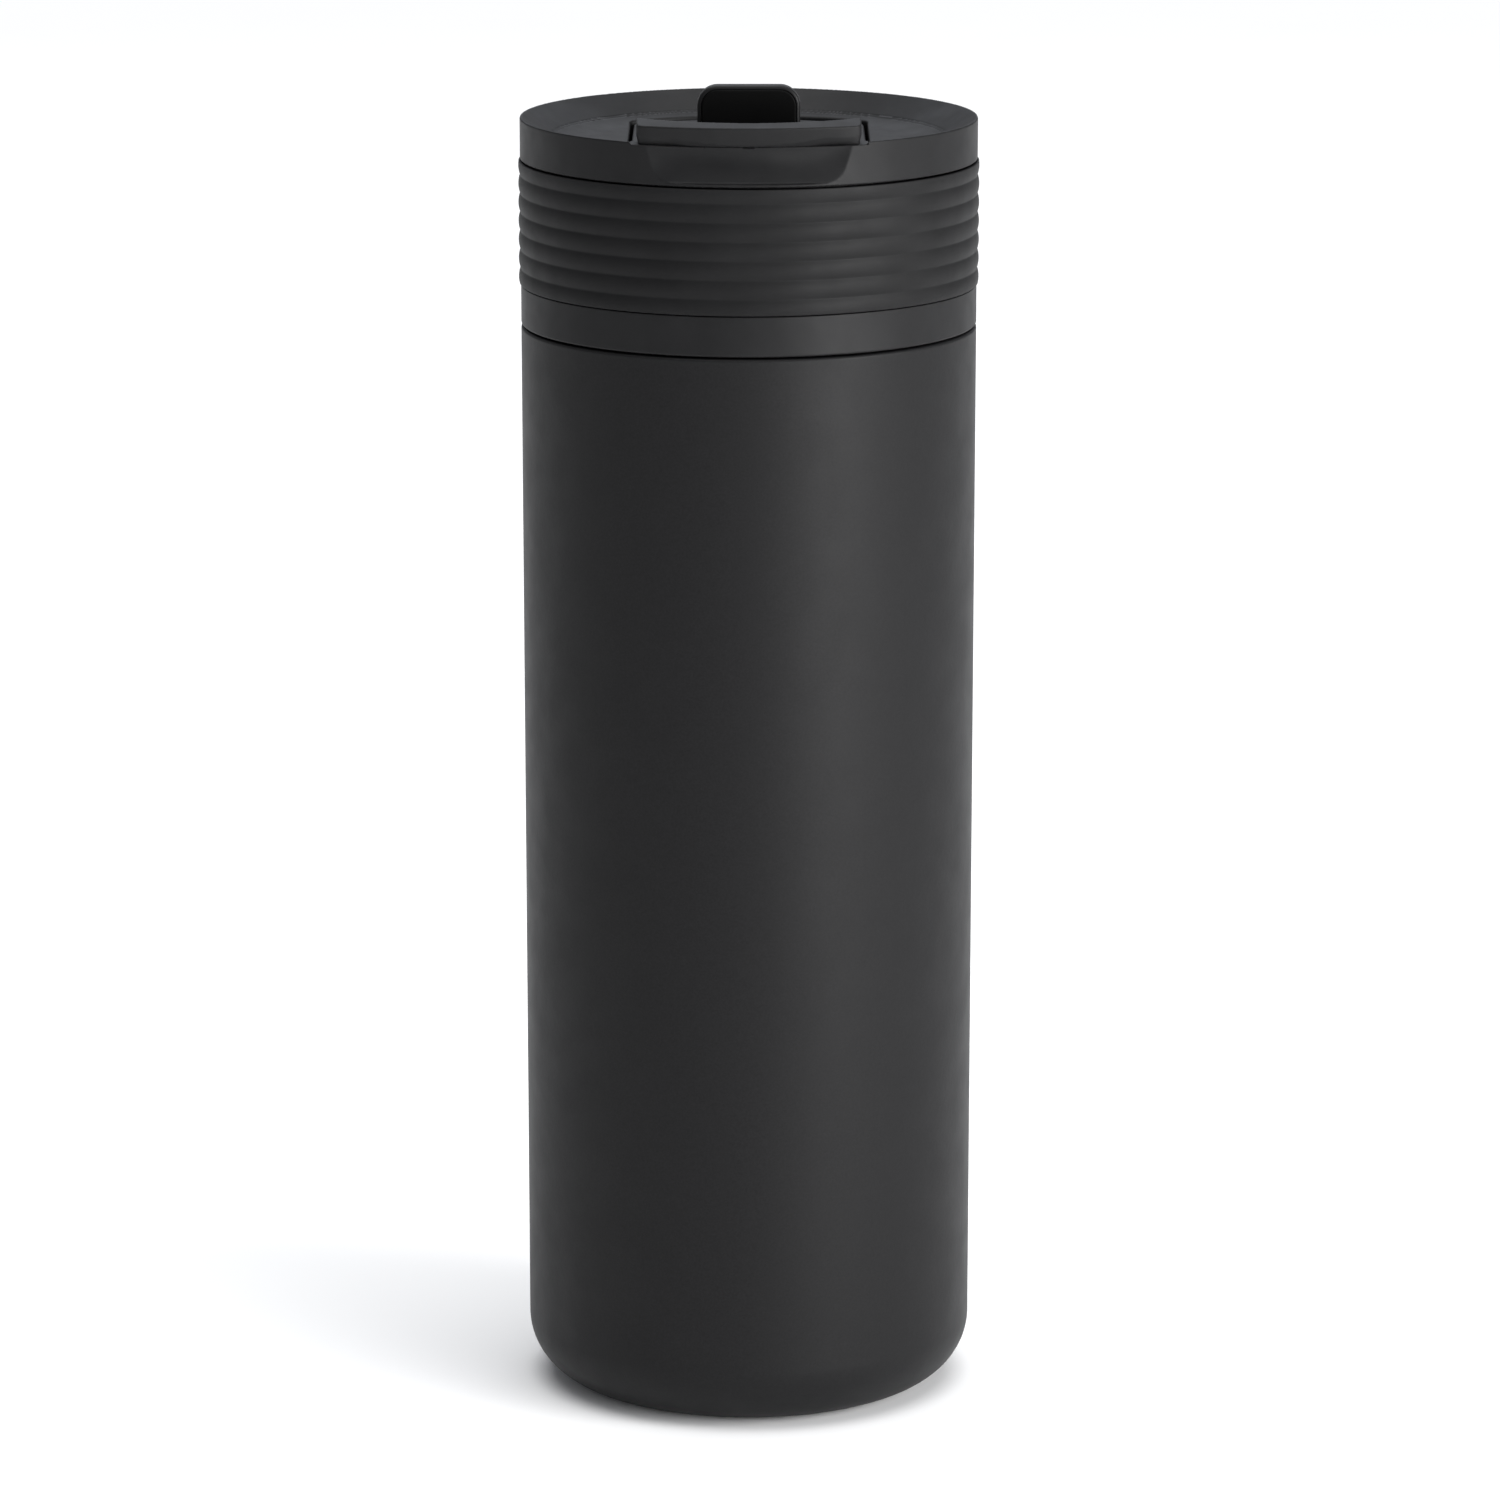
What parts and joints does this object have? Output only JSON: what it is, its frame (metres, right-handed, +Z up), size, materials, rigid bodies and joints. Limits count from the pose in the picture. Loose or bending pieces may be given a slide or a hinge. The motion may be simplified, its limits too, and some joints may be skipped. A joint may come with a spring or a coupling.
{
  "type": "insulated travel mug",
  "caption": "Tall insulated travel mug with a ribbed screw lid, a raised sipping lip and a flip stopper standing open.",
  "frame": {"origin": "centre of the base, on the surface that the mug stands on", "axes": "+Z up along the mug's axis; the sipping lip faces -Y"},
  "size_m": [0.0736, 0.0736, 0.2148],
  "materials": {
    "powder_coat": "fine-textured matt black powder coat on steel",
    "bare_steel": "brushed 18/8 stainless steel",
    "copper_foil": "thin copper foil",
    "getter_alloy": "sintered grey alloy",
    "solder_glass": "fused glass bead",
    "lid_plastic": "fine-grained soft matt black plastic",
    "stopper_plastic": "matt black plastic",
    "grip_rubber": "matt ribbed black rubber",
    "black_silicone": "smooth matt black silicone",
    "clear_silicone": "milky silicone",
    "white_foam": "closed-cell insulating foam"
  },
  "bodies": {
    "vessel": {"outer_shell": "powder_coat", "outer_base": "bare_steel", "base_cap": "bare_steel", "vacuum_seal": "solder_glass", "getter": "getter_alloy", "getter_strap": "bare_steel", "radiation_foil": "copper_foil", "inner_liner": "bare_steel", "liner_bottom": "bare_steel"},
    "seal_ring": {"plug_gasket": "clear_silicone"},
    "lid": {"lid_body": "lid_plastic", "plug_cap": "lid_plastic", "lid_foam": "white_foam", "grip_sleeve": "grip_rubber", "lid_ring": "lid_plastic", "spout_insert": "lid_plastic", "spout_gasket": "clear_silicone", "vent_valve": "clear_silicone", "hinge_pin": "bare_steel"},
    "flap": {"stopper_flap": "stopper_plastic", "stopper_seal": "black_silicone"}
  },
  "joints": [
    {"name": "lid_lift", "type": "slide", "parent": "vessel", "child": "seal_ring", "axis": [0, 0, 1], "range_m": [0, 0.0101]},
    {"name": "lid_turn", "type": "hinge", "parent": "seal_ring", "child": "lid", "pos_m": [0, 0, 0.19], "axis": [0, 0, 1], "range_deg": [0, 450]},
    {"name": "flap_hinge", "type": "hinge", "parent": "lid", "child": "flap", "pos_m": [0, -0.0155, 0.2032], "axis": [1, 0, 0], "range_deg": [0, 90]}
  ],
  "couplings": [
    {"joint": "lid_lift", "follows": "lid_turn", "m_per_rad": 0.0012732}
  ]
}
